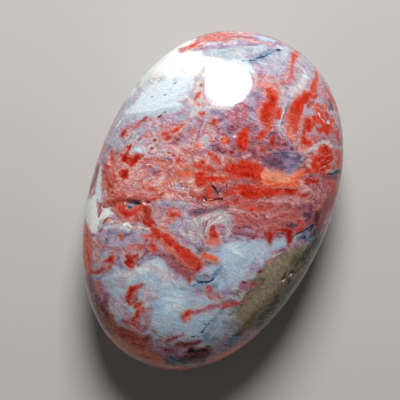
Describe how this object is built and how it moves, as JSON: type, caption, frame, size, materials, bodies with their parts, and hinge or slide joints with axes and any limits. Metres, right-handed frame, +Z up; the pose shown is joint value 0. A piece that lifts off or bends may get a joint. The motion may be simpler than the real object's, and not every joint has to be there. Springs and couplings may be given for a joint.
{
  "type": "polished agate palm stone",
  "caption": "Smooth oval pebble of plume agate, domed on both faces and polished all over, for holding or display; it lies on a small flat ground on its underside.",
  "frame": {"origin": "middle of the stone's outline, on the plane that it rests on", "axes": "+Y along the long axis towards the fuller end, +Z up through the crown, +X across the width"},
  "size_m": [0.0464, 0.068, 0.027],
  "materials": {
    "polished_agate": "polished"
  },
  "bodies": {
    "root": {"polished_agate": "polished_agate"}
  },
  "joints": []
}
